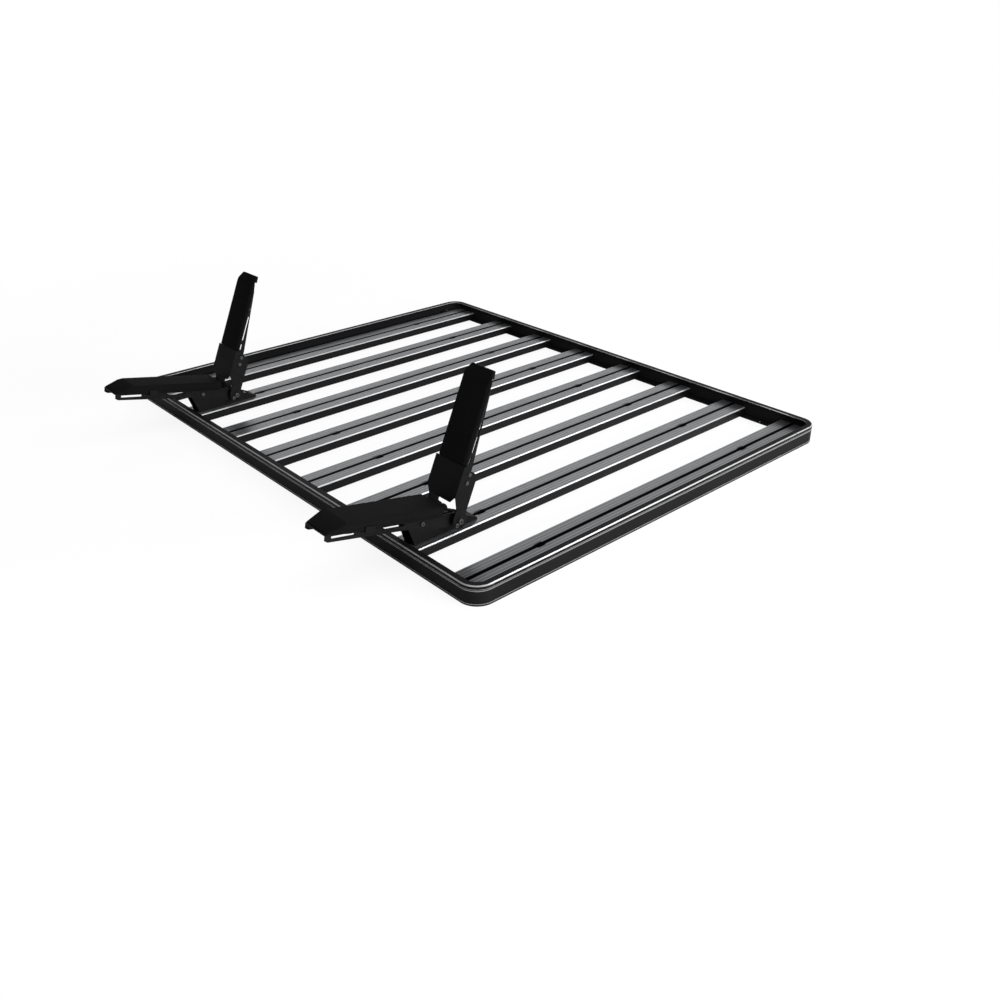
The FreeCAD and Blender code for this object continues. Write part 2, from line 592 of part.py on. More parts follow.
# arm pad: sheet of padding that hooks over the tip of the tray
hook = "arm_tray_end+arm_pad_hook_gap"
arm_pad = part_body("arm_pad")
pad(arm_pad, "side", [("polygon", [
    ("bracket_top+parting_gap", "arm_plate_top"), ("bracket_top+parting_gap", "arm_face"),
    ("arm_pad_bevel", "arm_face"), ("arm_pad_end", "arm_pad_tip_level"),
    ("arm_pad_end", "arm_pad_hook_low"), (hook, "arm_pad_hook_low"), (hook, "arm_plate_top")])],
    "2*pad_half_width", middle=True)
pocket(arm_pad, "front", [("polygon", [(f"{sign}({a})", b) for a, b in (
    ("pad_half_width-arm_pad_chamfer", "arm_face"), ("pad_half_width", "arm_face-arm_pad_chamfer"),
    ("pad_half_width+cut_margin", "arm_face-arm_pad_chamfer"),
    ("pad_half_width+cut_margin", "arm_face+cut_margin"),
    ("pad_half_width-arm_pad_chamfer", "arm_face+cut_margin"))]) for sign in ("", "-")])
pocket(arm_pad, "plan", mirrored([
    ("arm_pad_bevel", "pad_half_width"), ("arm_pad_end", "pad_tip_half_width"),
    ("arm_pad_end+cut_margin", "pad_tip_half_width"),
    ("arm_pad_end+cut_margin", "pad_half_width+cut_margin"),
    ("arm_pad_bevel", "pad_half_width+cut_margin")]))
pocket_band(arm_pad, "plan", [("circle", x, y, screw_hole) for x, y in arm_screws],
            "arm_screw_length+cut_margin", level=f"{arm_under}+arm_screw_length+screw_end_gap")
cradle_piece("arm_pad", "arm", arm_pad)

# screws that hold the pads and the arm tray
small_head = disc("small_head")
base_screw = bolt("base_pad_screw", small_head, "small_head_high", "small_screw_radius",
                  "base_screw_length")
cradle_piece("base_pad_screws", "base", bunch("base_pad_screws", [
    copy(base_screw, "base_pad_screw", x=x, y=y, z=plate_under) for x, y in base_screws]))
arm_screw = bolt("arm_pad_screw", small_head, "small_head_high", "small_screw_radius",
                 "arm_screw_length")
cradle_piece("arm_pad_screws", "arm", bunch("arm_pad_screws", [
    copy(arm_screw, "arm_pad_screw", x=x, y=y, z=arm_under) for x, y in arm_screws]))
joint_screw = bolt("joint_screw", small_head, "small_head_high", "small_screw_radius",
                   "joint_screw_length")
cradle_piece("joint_screws", "arm", bunch("joint_screws", [
    copy(joint_screw, "joint_screw", turn, x=x, y=f"{sign}bracket_half_width", z="joint_screw_level")
    for x in joint_places for turn, sign in ((TO_FRONT, "-"), (TO_REAR, ""))]))

# hinge bolt with its nut and spacers, and the guide bolt in the slots of the cheeks
cheek_seat = "bracket_half_width+side_clearance"
guide = {"x": "guide_reach*cos(guide_angle)", "z": "guide_reach*sin(guide_angle)"}
pivot_bolt = bolt("pivot_bolt", disc("pivot_head"), "pivot_head_high", "pivot_radius",
                  f"2*({cheek_seat})+pivot_nut_high+bolt_tail")
cradle_piece("pivot_bolt", "level", bunch("pivot_bolt", [
    copy(pivot_bolt, "pivot_bolt", TO_FRONT, y=f"-({cheek_seat})")]))
pivot_nut = sleeve("pivot_nut", hexagon("pivot_head"), "pivot_radius+hole_clearance", "pivot_nut_high")
cradle_piece("pivot_nut", "level", bunch("pivot_nut", [
    copy(pivot_nut, "pivot_nut", TO_FRONT, y=cheek_seat)]))
guide_bolt = bolt("guide_bolt", disc("guide_head"), "guide_head_high", "guide_radius",
                  f"2*({cheek_seat})+guide_nut_high+bolt_tail")
cradle_piece("guide_bolt", "level", bunch("guide_bolt", [
    copy(guide_bolt, "guide_bolt", TO_FRONT, y=f"-({cheek_seat})", **guide)]))
guide_nut = sleeve("guide_nut", hexagon("guide_head"), "guide_radius+hole_clearance", "guide_nut_high")
cradle_piece("guide_nut", "level", bunch("guide_nut", [
    copy(guide_nut, "guide_nut", TO_FRONT, y=cheek_seat, **guide)]))

spacer_outline = disc("pivot_radius+spacer_wall")
spacer_bore = "pivot_radius+hole_clearance"
outer_spacer = sleeve("outer_spacer", spacer_outline, spacer_bore,
                      f"{arm_half_width}-side_clearance-tray_half_width")
inner_spacer = sleeve("inner_spacer", spacer_outline, spacer_bore,
                      "tray_half_width-sheet-foot_half_width")
spacer_turns = ((TO_FRONT, ""), (TO_REAR, "-"))
cradle_piece("pivot_spacers", "level", bunch("pivot_spacers", [
    copy(source, "pivot_spacer", turn, y=f"{sign}{start}") for turn, sign in spacer_turns
    for source, start in ((outer_spacer, "tray_half_width"), (inner_spacer, "foot_half_width"))]))

# tray bolt that fixes the slope of the base on its foot
tray_place = {"x": "-tray_bolt_along", "z": "tray_bolt_level"}
tray_bolt = bolt("tray_bolt", disc("guide_head"), "guide_head_high", "corner_bolt_radius",
                 "2*tray_half_width+guide_nut_high+bolt_tail")
cradle_piece("tray_bolt", "base", bunch("tray_bolt", [
    copy(tray_bolt, "tray_bolt", TO_FRONT, y="-tray_half_width", **tray_place)]))
tray_nut = sleeve("tray_nut", hexagon("guide_head"), bolt_hole, "guide_nut_high")
cradle_piece("tray_nut", "base", bunch("tray_nut", [
    copy(tray_nut, "tray_nut", TO_FRONT, y="tray_half_width", **tray_place)]))
tray_spacer = sleeve("tray_spacer", disc("corner_bolt_radius+spacer_wall"), bolt_hole,
                     "tray_half_width-sheet-foot_half_width")
cradle_piece("tray_spacers", "base", bunch("tray_spacers", [
    copy(tray_spacer, "tray_spacer", turn, y=f"{sign}foot_half_width", **tray_place)
    for turn, sign in spacer_turns]))

# square-headed bolts in the slat's slot, with washers and nuts on the foot
slot_places = ("-slot_bolt_outer", "slot_bolt_inner")
slot_bolt = bolt("slot_bolt", square("slot_head_width"), "slot_head_high", "slot_bolt_radius",
                 "slot_lip+foot_base_thick+washer_thick+slot_nut_high+bolt_tail")
cradle_piece("slot_bolts", "level", bunch("slot_bolts", [
    copy(slot_bolt, "slot_bolt", x=x, z="slat_top-slot_lip-pivot_z") for x in slot_places]))
slot_bore = "slot_bolt_radius+hole_clearance"
slot_washer = sleeve("slot_washer", disc("washer_radius"), slot_bore, "washer_thick")
cradle_piece("slot_washers", "level", bunch("slot_washers", [
    copy(slot_washer, "slot_washer", x=x, z=plate_top) for x in slot_places]))
slot_nut = sleeve("slot_nut", hexagon("slot_nut_flat"), slot_bore, "slot_nut_high")
cradle_piece("slot_nuts", "level", bunch("slot_nuts", [
    copy(slot_nut, "slot_nut", x=x, z=f"{plate_top}+washer_thick") for x in slot_places]))


doc.recompute()
failed = [item.Label for item in doc.Objects if {"Invalid", "Error"} & set(item.State)]
failed += [item.Label for item in nodes if item.Shape.isNull() or not item.Shape.isValid()]
if failed:
    raise RuntimeError("failed: " + ", ".join(failed))

os.makedirs("parts", exist_ok=True)
for item in nodes:
    item.Shape.exportStep(f"parts/{item.Label}.step")
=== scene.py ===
import math

import bmesh
import bpy
from bpy.props import FloatProperty, FloatVectorProperty, PointerProperty
from mathutils import Matrix, Vector


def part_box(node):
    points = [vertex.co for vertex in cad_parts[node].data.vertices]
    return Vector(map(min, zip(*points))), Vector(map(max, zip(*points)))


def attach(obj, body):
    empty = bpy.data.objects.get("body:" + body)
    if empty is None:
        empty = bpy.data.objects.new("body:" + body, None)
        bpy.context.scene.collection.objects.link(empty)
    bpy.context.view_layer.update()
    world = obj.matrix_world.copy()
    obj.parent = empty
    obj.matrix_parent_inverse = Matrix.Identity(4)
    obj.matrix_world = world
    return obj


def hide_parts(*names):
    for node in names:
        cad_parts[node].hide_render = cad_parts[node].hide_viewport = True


bl_info = {
    "name": "Kayak carrier on a roof platform",
    "version": (1, 0, 0),
    "blender": (4, 5, 0),
    "location": "View3D > Sidebar > Kayak carrier",
    "description": "Finishes, pads, fasteners and stage for a roof platform with two kayak cradles",
    "category": "Object",
}

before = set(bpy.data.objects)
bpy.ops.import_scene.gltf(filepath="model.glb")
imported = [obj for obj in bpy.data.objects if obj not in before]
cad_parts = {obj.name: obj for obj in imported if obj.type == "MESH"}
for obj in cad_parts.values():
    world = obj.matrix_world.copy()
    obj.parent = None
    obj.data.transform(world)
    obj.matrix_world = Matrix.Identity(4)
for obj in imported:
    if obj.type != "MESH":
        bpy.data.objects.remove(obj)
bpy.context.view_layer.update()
CRADLES = {"rear": "rear_arm", "front": "front_arm"}
ROOT = "rack"


# Sizes and colours that a user would change

def colour(name, description, default):
    return FloatVectorProperty(name=name, description=description, default=default,
                               subtype="COLOR", size=3, min=0.0, max=1.0)


def length(name, description, millimetres):
    return FloatProperty(name=name, description=description, default=millimetres / 1000,
                         unit="LENGTH", precision=5)


def turn(name, description, degrees):
    return FloatProperty(name=name, description=description, default=math.radians(degrees),
                         unit="ROTATION")


class CarrierColours(bpy.types.PropertyGroup):
    rail: colour("Rail", "Powder coat of the perimeter rail and its corners", (0.0065, 0.0065, 0.007))
    # Slat: painted sheen, a lighter colour on the slat tops for the reflection of the light on them.
    slat: colour("Slat", "Sheen of the anodised slat tops", (0.215, 0.22, 0.228))
    # Slat edge highlight: painted highlight along both chamfers of the slats.
    slat_edge_highlight: colour("Slat edge", "Bright chamfers along the slats", (0.60, 0.60, 0.61))
    slat_side: colour("Slat side", "Slat sides, slots and the floor of the grooves", (0.0026, 0.0026, 0.003))
    bracket: colour("Bracket", "Powder coat of the feet, trays and arm brackets", (0.003, 0.003, 0.0033))
    pad: colour("Pad", "Rubber of the pads", (0.003, 0.003, 0.0032))
    zinc: colour("Zinc", "Plating of the slot bolts and screws", (0.52, 0.52, 0.53))
    bolt: colour("Bolt", "Black oxide of the hinge bolts and nuts", (0.02, 0.02, 0.021))
    # Wear: bright metal for rubbed spots on the black bolts, and for the painted highlight on the rail
    # chamfers and groove lips.
    wear_and_highlight: colour("Wear", "Metal that shows where an edge is rubbed", (0.75, 0.75, 0.76))


class CradleSizes(bpy.types.PropertyGroup):
    hinge_x: length("Hinge across", "Place of both hinges across the platform", -476)
    hinge_z: length("Hinge height", "Height of both hinges over the underside", 60)
    spacing: length("Spacing", "Distance between the two cradles", 1010)
    base_slope: turn("Base slope", "Rise of the base towards the outside", 12)
    arm_angle: turn("Arm angle", "Angle of the arm over the platform", 66)
    pad_half_width: length("Pad half width", "Half the width of both pads", 48)
    pad_tip_half_width: length("Pad tip half width", "Half the width at the tip of a pad", 36)
    pad_rounding: length("Pad rounding", "Radius of the pads' moulded edges", 2.2)
    base_bottom: length("Base pad bottom", "Underside of the base pad from the hinge line", 17.5)
    base_top: length("Base pad top", "Face of the base pad from the hinge line", 39.5)
    base_start: length("Base pad start", "Inner end of the base pad along the base", 45)
    base_bevel: length("Base pad bevel", "Start of the sloping tip along the base", 302)
    base_end: length("Base pad end", "Outer end of the base pad along the base", 350.7)
    base_chamfer: length("Base pad chamfer", "Chamfer of the long edges of the base pad", 8)
    arm_bottom: length("Arm pad back", "Back of the arm pad from the hinge line", 31)
    arm_face: length("Arm pad face", "Face of the arm pad from the hinge line", 38)
    arm_start: length("Arm pad start", "Lower end of the arm pad along the arm", 126.3)
    arm_bevel: length("Arm pad bevel", "Start of the sloping tip along the arm", 316)
    arm_end: length("Arm pad end", "Tip of the arm pad along the arm", 344)
    arm_chamfer: length("Arm pad chamfer", "Chamfer of the long edges of the arm pad", 7)


class FastenerSizes(bpy.types.PropertyGroup):
    pivot_head: length("Hinge bolt head", "Radius of the head of a hinge bolt", 6.5)
    pivot_shank: length("Hinge bolt shank", "Radius of a hinge bolt", 4)
    pivot_head_high: length("Hinge bolt head height", "Height of the head of a hinge bolt", 4.5)
    guide_head: length("Guide bolt head", "Radius of the head of a guide or tray bolt", 5)
    guide_shank: length("Guide bolt shank", "Radius of a guide or tray bolt", 3)
    guide_head_high: length("Guide bolt head height", "Height of the head of a guide bolt", 4)
    slot_nut_bore: length("Slot nut bore", "Radius of the bore of a slot nut", 4.3)
    nut_bevel: length("Nut bevel", "Bevel of the edges of the nuts", 0.6)
    head_bevel: length("Head bevel", "Rounding of the edges of bolt heads", 0.9)


class StageSetup(bpy.types.PropertyGroup):
    floor: colour("Floor", "Floor below the platform", (0.88, 0.88, 0.88))
    world_light: FloatProperty(name="World light", description="Light of the surroundings", default=0.42)
    world_gloss: FloatProperty(name="World gloss", description="Surroundings in reflections", default=0.1)
    key: FloatProperty(name="Key light", description="Soft lamp overhead", default=45.0, unit="POWER")
    sheen: FloatProperty(name="Sheen light", description="Wide lamp beyond the platform",
                         default=72.0, unit="POWER")
    edge: FloatProperty(name="Edge light", description="Lamp on the right that draws the chamfers",
                        default=45.0, unit="POWER")
    front: FloatProperty(name="Front light", description="Low lamp that lights the faces towards -Y",
                         default=185.0, unit="POWER")
    fill: FloatProperty(name="Fill light", description="Lamp on the near left", default=6.0, unit="POWER")
    lens: FloatProperty(name="Lens", description="Focal length of the camera in millimetres",
                        default=35.605)


# Finishes

class Number:
    """A number socket; arithmetic on it adds the Math nodes."""

    def __init__(self, finish, socket):
        self.finish = finish
        self.socket = socket

    def math(self, operation, *values, clamp=False):
        node = self.finish.node("ShaderNodeMath", {"operation": operation, "use_clamp": clamp},
                                *values)
        return Number(self.finish, node.outputs[0])

    def __add__(self, other):
        return self.math("ADD", self, other)

    __radd__ = __add__

    def __sub__(self, other):
        return self.math("SUBTRACT", self, other)

    def __rsub__(self, other):
        return self.math("SUBTRACT", other, self)

    def __mul__(self, other):
        return self.math("MULTIPLY", self, other)

    __rmul__ = __mul__

    def __truediv__(self, other):
        return self.math("DIVIDE", self, other)

    def clamp(self):
        return self.math("ADD", self, 0.0, clamp=True)

    def magnitude(self):
        return self.math("ABSOLUTE", self)

    def fraction(self):
        return self.math("FRACT", self)

    def at_least(self, least):
        return self.math("MAXIMUM", self, least)

    def root(self):
        return self.math("SQRT", self)


class Finish:
    """A material and one method that adds its nodes."""

    def __init__(self, name):
        self.material = bpy.data.materials.new(name)
        self.material.use_nodes = True
        self.tree = self.material.node_tree
        self.shader = self.tree.nodes["Principled BSDF"]
        self.place = self.node("ShaderNodeTexCoord", {}).outputs["Object"]

    def node(self, kind, settings, *values, **named):
        """Add a node; settings first, then input sockets by order or by name."""
        node = self.tree.nodes.new(kind)
        for key, value in settings.items():
            setattr(node, key, value)
        for key, value in list(enumerate(values)) + list(named.items()):
            self.feed(node.inputs[key.replace("_", " ") if isinstance(key, str) else key], value)
        return node

    def feed(self, socket, value):
        if isinstance(value, Number):
            value = value.socket
        if isinstance(value, bpy.types.NodeSocket):
            self.tree.links.new(value, socket)
        elif hasattr(socket.default_value, "__len__") and len(value) == 3 and len(socket.default_value) == 4:
            socket.default_value = (*value, 1.0)
        else:
            socket.default_value = value

    def noise(self, scale, detail=2.0, rough=0.5, stretch=(1, 1, 1)):
        """Noise on the object's own place, from 0 to 1; scale is in cells a metre."""
        place = self.node("ShaderNodeVectorMath", {"operation": "MULTIPLY"}, self.place, stretch)
        node = self.node("ShaderNodeTexNoise", {}, Vector=place.outputs[0], Scale=scale,
                         Detail=detail, Roughness=rough)
        return Number(self, node.outputs[0])

    def part(self, axis):
        """One coordinate of the place, in metres."""
        node = self.node("ShaderNodeSeparateXYZ", {}, self.place)
        return Number(self, node.outputs[axis])

    def beyond_corner(self):
        """Distance outside the rounded outline of the platform, below 0 inside it."""
        side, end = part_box("side_rail_right")[1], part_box("end_rail_front")[1]
        across = (self.part(0).magnitude() - end.x).at_least(0.0)
        along = (self.part(1).magnitude() - side.y).at_least(0.0)
        return (across * across + along * along).root() - (side.x - end.x)

    def step(self, value, low, high):
        """0 below low, 1 above high, smooth between."""
        node = self.node("ShaderNodeMapRange", {"interpolation_type": "SMOOTHSTEP"}, value, low, high)
        return Number(self, node.outputs[0])

    def mix(self, share, first, second):
        """Colour between two by a share from 0 to 1."""
        node = self.node("ShaderNodeMix", {"data_type": "RGBA"})
        self.feed(node.inputs[0], share)
        self.feed(node.inputs[6], first)
        self.feed(node.inputs[7], second)
        return node.outputs[2]

    def bump(self, height, distance, strength=0.5):
        node = self.node("ShaderNodeBump", {}, Strength=strength, Distance=distance, Height=height)
        self.feed(self.shader.inputs["Normal"], node.outputs[0])

    def surface(self, **values):
        """Set or link sockets of the shader."""
        for key, value in values.items():
            self.feed(self.shader.inputs[key.replace("_", " ")], value)
        return self.material


def shade(base, factor):
    return tuple(min(1.0, channel * factor) for channel in base)


def powder_coat(name, base, roughness, pebble=1.0):
    """Fine textured coat: small pebbles, faint cloudiness and a few rubbed specks."""
    finish = Finish(name)
    cloud = finish.noise(9.0, detail=3.0)
    grain = finish.noise(1500.0, detail=2.0, rough=0.6)
    specks = finish.step(finish.noise(420.0, detail=4.0, rough=0.7), 0.70, 0.78)
    tint = finish.mix(cloud, shade(base, 0.7), shade(base, 1.45))
    tint = finish.mix(specks * 0.25, tint, shade(base, 5.0))
    finish.bump(grain, 0.00025 * pebble, 0.35)
    return finish.surface(Base_Color=tint, Roughness=roughness + (cloud - 0.5) * 0.14 + (grain - 0.5) * 0.1,
                          Specular_IOR_Level=0.1)


def slat_finish(name, top_sheen, edge, side):
    """Anodised extrusion: drawn streaks on the ribs, painted sheen in a lighter metal colour on the tops,
    painted highlights on the chamfers, painted shade in the grooves, dark slot and sides.
    """
    slot, chamfer, rib, blend = 0.0069, 0.0035, 0.0008, 0.0003
    line_start, line_pitch = 0.0080, 0.0096
    finish = Finish(name)
    first, pitch = slat_spacing()
    low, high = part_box("slat_1")
    half = (high.y - low.y) / 2
    height = finish.part(2)
    across = (((finish.part(1) - first) / pitch + 0.5).fraction() - 0.5).magnitude() * pitch

    # Painted sheen: the tops, away from the slot and the outer sides, get a lighter metal colour for the
    # reflection of the light on them.
    top_sheen_mask = (finish.step(height, high.z - chamfer - 0.0005, high.z - chamfer + 0.0001)
             * finish.step(across, slot - blend, slot + blend)
             * (1 - finish.step(across, half - 0.0015, half - 0.0007)))
    # Painted shade: the rib grooves and the lines along them are mixed to a fifth of the top colour, darker
    # than the painted sheen.
    groove = 1 - finish.step(height, high.z - rib + 0.0001, high.z - 0.0002)
    lines = (((across - line_start) / line_pitch).fraction() - 0.5).magnitude()
    groove_shade = (groove * 0.7 + (1 - finish.step(lines, 0.12, 0.26)) * 0.45).clamp()
    # Painted highlight: both chamfers get the bright edge colour.
    edge_highlight = finish.step(across, half - chamfer - 0.0002, half - chamfer + 0.0004)

    fine = finish.noise(1.0, detail=3.0, rough=0.6, stretch=(3.0, 420.0, 420.0))
    broad = finish.noise(1.0, detail=2.0, stretch=(1.4, 70.0, 20.0))
    cloud = finish.noise(5.0, detail=3.0)
    streak = (fine * 0.55 + broad * 0.3 + cloud * 0.35).clamp()
    metal = finish.mix(streak, shade(top_sheen, 0.6), shade(top_sheen, 1.3))
    metal = finish.mix(groove_shade, metal, shade(top_sheen, 0.2))
    metal = finish.mix(edge_highlight, metal, edge)
    finish.bump(fine, 0.00008, 0.4)
    return finish.surface(Base_Color=finish.mix(top_sheen_mask, side, metal), Metallic=top_sheen_mask * 0.85,
                          Roughness=0.36 + (fine - 0.5) * 0.16 + (cloud - 0.5) * 0.1,
                          Specular_IOR_Level=0.12)


def rail_finish(name, base, wear_and_highlight):
    """Smooth coat over the drawn rail, with painted highlights in bright metal along the chamfer and the
    lips of the grooves, standing in for the lamps' reflections there.
    """
    high_groove, low_groove, blend = (0.037, 0.040), 0.005, 0.0002
    finish = Finish(name)
    height = finish.part(2)

    def band(low, high, soft_low, soft_high):
        return finish.step(height, low, low + soft_low) * (1 - finish.step(height, high - soft_high, high))

    cloud = finish.noise(6.0, detail=3.0)
    grain = finish.noise(1100.0, detail=2.0, rough=0.55)
    highlight_patches = finish.step(finish.noise(55.0, detail=5.0, rough=0.7), 0.50, 0.72)
    # Painted highlight: the top chamfer band takes the bright metal colour, for the reflection of the lamps
    # on it.
    chamfer = band(0.0474, 0.04995, 0.0003, 0.00015)
    outside = finish.step(finish.beyond_corner(), -0.0028, -0.0022)
    # Painted highlight: thin bright lines at the lips of the grooves on the outer faces.
    lips = (band(high_groove[0] - 0.0010, high_groove[0] + blend, blend, blend)
            + band(high_groove[1] - 0.0001, high_groove[1] + 0.0009, blend, blend)
            + band(low_groove - 0.0011, low_groove + 0.0001, blend, blend)) * outside
    # Painted highlight mask, broken up by noise; it also lowers the roughness and raises the metal there.
    rubbed_and_highlight = (chamfer * (0.75 + highlight_patches * 0.25) + lips * 0.4).clamp()
    tint = finish.mix(cloud, shade(base, 0.75), shade(base, 1.4))
    finish.bump(grain, 0.0001, 0.3)
    return finish.surface(Base_Color=finish.mix(rubbed_and_highlight, tint, wear_and_highlight), Metallic=rubbed_and_highlight * 0.9,
                          Specular_IOR_Level=0.025,
                          Roughness=0.46 - rubbed_and_highlight * 0.2 + (cloud - 0.5) * 0.12 + (grain - 0.5) * 0.08)


def pad_rubber(name, base):
    """Moulded rubber: fine leathery grain and slightly polished high spots."""
    finish = Finish(name)
    cell = finish.node("ShaderNodeTexVoronoi", {"feature": "F1"}, Vector=finish.place, Scale=620.0)
    grain = Number(finish, cell.outputs["Distance"])
    cloud = finish.noise(14.0, detail=4.0)
    fine = finish.noise(2300.0, detail=2.0)
    tint = finish.mix(cloud, shade(base, 0.75), shade(base, 1.5))
    tint = finish.mix(grain.clamp() * 0.3, tint, shade(base, 2.2))
    finish.bump(grain * 0.7 + fine * 0.3, 0.0004, 0.45)
    return finish.surface(Base_Color=tint, Roughness=0.7 + (cloud - 0.5) * 0.14, Specular_IOR_Level=0.03)


def plated_steel(name, base):
    """Zinc plating with turning marks and dull patches."""
    finish = Finish(name)
    cloud = finish.noise(120.0, detail=4.0)
    fine = finish.noise(1900.0, detail=3.0, stretch=(1, 1, 4))
    tint = finish.mix(cloud, shade(base, 0.7), shade(base, 1.2))
    finish.bump(fine, 0.00008, 0.3)
    return finish.surface(Base_Color=tint, Metallic=1.0, Roughness=0.3 + cloud * 0.2)


def black_oxide(name, base, wear_and_highlight):
    """Blackened steel that is rubbed bright in places."""
    finish = Finish(name)
    cloud = finish.noise(90.0, detail=4.0)
    rubbed_and_highlight = finish.step(finish.noise(260.0, detail=4.0, rough=0.7), 0.62, 0.75)
    tint = finish.mix(rubbed_and_highlight * 0.3, finish.mix(cloud, shade(base, 0.7), shade(base, 1.5)), wear_and_highlight)
    finish.bump(finish.noise(1600.0), 0.0001, 0.3)
    return finish.surface(Base_Color=tint, Metallic=rubbed_and_highlight * 0.4, Roughness=0.42 + (cloud - 0.5) * 0.2)


def spacer_plastic(name, base):
    """Matt moulded plastic with a faint grain."""
    finish = Finish(name)
    grain = finish.noise(900.0, detail=3.0)
    tint = finish.mix(grain, shade(base, 0.8), shade(base, 1.3))
    finish.bump(grain, 0.0002, 0.3)
    return finish.surface(Base_Color=tint, Roughness=0.6 + (grain - 0.5) * 0.1)


def slat_spacing():
    """Middle of the first slat and the distance to the next, along the platform."""
    middles = [sum(corner.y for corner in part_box(f"slat_{number}")) / 2 for number in (1, 2)]
    return middles[0], middles[1] - middles[0]


def dress(material, nodes):
    """Put a finish on CAD nodes."""
    for name in nodes:
        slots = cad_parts[name].data.materials
        if not slots:
            slots.append(material)
        for index in range(len(slots)):
            slots[index] = material


def both(*labels):
    return [f"{cradle}_{label}" for cradle in CRADLES for label in labels]


# Shapes

def piece(name, mesh, material, body, slot, *nodes):
    """Make an object of a finished bmesh that rides on a body and stands for CAD nodes."""
    bmesh.ops.remove_doubles(mesh, verts=mesh.verts, dist=0.000005)
    bmesh.ops.recalc_face_normals(mesh, faces=mesh.faces)
    data = bpy.data.meshes.new(name)
    mesh.to_mesh(data)
    mesh.free()
    data.materials.append(material)
    data.shade_smooth()
    data.set_sharp_from_angle(angle=math.radians(32))
    item = bpy.data.objects.new(name, data)
    bpy.context.collection.objects.link(item)
    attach(item, body)
    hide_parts(*nodes)
    return item


def slab(outline, half_width):
    """Solid whose side is an outline of (along, level) points and whose width lies along Y."""
    mesh = bmesh.new()
    side = mesh.faces.new([mesh.verts.new((a, -half_width, b)) for a, b in outline])
    grown = bmesh.ops.extrude_face_region(mesh, geom=[side])["geom"]
    moved = [v for v in grown if isinstance(v, bmesh.types.BMVert)]
    bmesh.ops.translate(mesh, verts=moved, vec=(0, 2 * half_width, 0))
    bmesh.ops.recalc_face_normals(mesh, faces=mesh.faces)
    return mesh


def plane_off(mesh, point, normal):
    """Cut away what lies beyond a plane and close the cut."""
    whole = mesh.verts[:] + mesh.edges[:] + mesh.faces[:]
    cut = bmesh.ops.bisect_plane(mesh, geom=whole, dist=0.000001, plane_co=point, plane_no=normal,
                                 clear_outer=True)
    edges = [e for e in cut["geom_cut"] if isinstance(e, bmesh.types.BMEdge)]
    bmesh.ops.holes_fill(mesh, edges=edges, sides=0)


def soften(mesh, radius, segments=3, sharp=12.0):
    """Round the edges where faces meet at more than an angle."""
    bmesh.ops.recalc_face_normals(mesh, faces=mesh.faces)
    edges = [e for e in mesh.edges if e.is_manifold and e.calc_face_angle(0) > math.radians(sharp)]
    bmesh.ops.bevel(mesh, geom=edges, offset=radius, offset_type="OFFSET", segments=segments,
                    profile=0.5, affect="EDGES", material=-1, clamp_overlap=True)


def narrow_tip(mesh, start, start_half, end, end_half):
    """Narrow the width in a straight taper between two places along the pad."""
    for side in (-1, 1):
        edge = Vector((end - start, side * (end_half - start_half), 0))
        normal = Vector((edge.y, -edge.x, 0)).normalized()
        if normal.y * side < 0:
            normal.negate()
        plane_off(mesh, (start, side * start_half, 0), normal)


def set_on_hinge(mesh, slope, sizes, y):
    """Turn a cradle piece to its slope and set it on its hinge."""
    place = Matrix.Translation((sizes.hinge_x, y, sizes.hinge_z)) @ Matrix.Rotation(slope, 4, "Y")
    bmesh.ops.transform(mesh, matrix=place, verts=mesh.verts)


def cradle_places(sizes):
    return {"rear": -sizes.spacing / 2, "front": sizes.spacing / 2}


def base_pad_shape(sizes):
    """Pad of the base: chamfered along its edges, with a nose inside and a sloping tip outside."""
    nose, tip, corner = 0.003, 0.0025, 0.009
    mesh = slab([(-sizes.base_start, sizes.base_bottom), (-sizes.base_start, sizes.base_top - nose),
                 (-sizes.base_start - nose, sizes.base_top), (-sizes.base_bevel, sizes.base_top),
                 (-sizes.base_end, sizes.base_bottom + tip), (-sizes.base_end, sizes.base_bottom)],
                sizes.pad_half_width)
    half = sizes.pad_half_width
    for side in (-1, 1):
        plane_off(mesh, (0, side * (half - sizes.base_chamfer), sizes.base_top), Vector((0, side, 1)))
        plane_off(mesh, (-sizes.base_start, side * (half - corner), 0), Vector((1, side, 0)))
    narrow_tip(mesh, -sizes.base_bevel, half, -sizes.base_end, sizes.pad_tip_half_width)
    soften(mesh, sizes.pad_rounding)
    return mesh


def arm_pad_shape(sizes):
    """Pad of the arm: a flat plate whose sloping tip hooks over the end of the tray."""
    tip_level, hook_level, hook_slope, hook = 0.0285, 0.0205, 0.004, 0.3263
    mesh = slab([(sizes.arm_start, sizes.arm_bottom), (sizes.arm_start, sizes.arm_face),
                 (sizes.arm_bevel, sizes.arm_face), (sizes.arm_end, tip_level),
                 (sizes.arm_end, hook_level), (hook, hook_level + hook_slope), (hook, sizes.arm_bottom)],
                sizes.pad_half_width)
    half = sizes.pad_half_width
    for side in (-1, 1):
        plane_off(mesh, (0, side * (half - sizes.arm_chamfer), sizes.arm_face), Vector((0, side, 1)))
    narrow_tip(mesh, sizes.arm_bevel, half, sizes.arm_end, sizes.pad_tip_half_width)
    soften(mesh, 0.7 * sizes.pad_rounding)
    return mesh


def loop_at(mesh, count, radius, height):
    """Ring of vertices about Z with edges between them."""
    ring = bmesh.ops.create_circle(mesh, cap_ends=False, segments=count, radius=radius,
                                   matrix=Matrix.Translation((0, 0, height)))
    return list({edge for vert in ring["verts"] for edge in vert.link_edges})


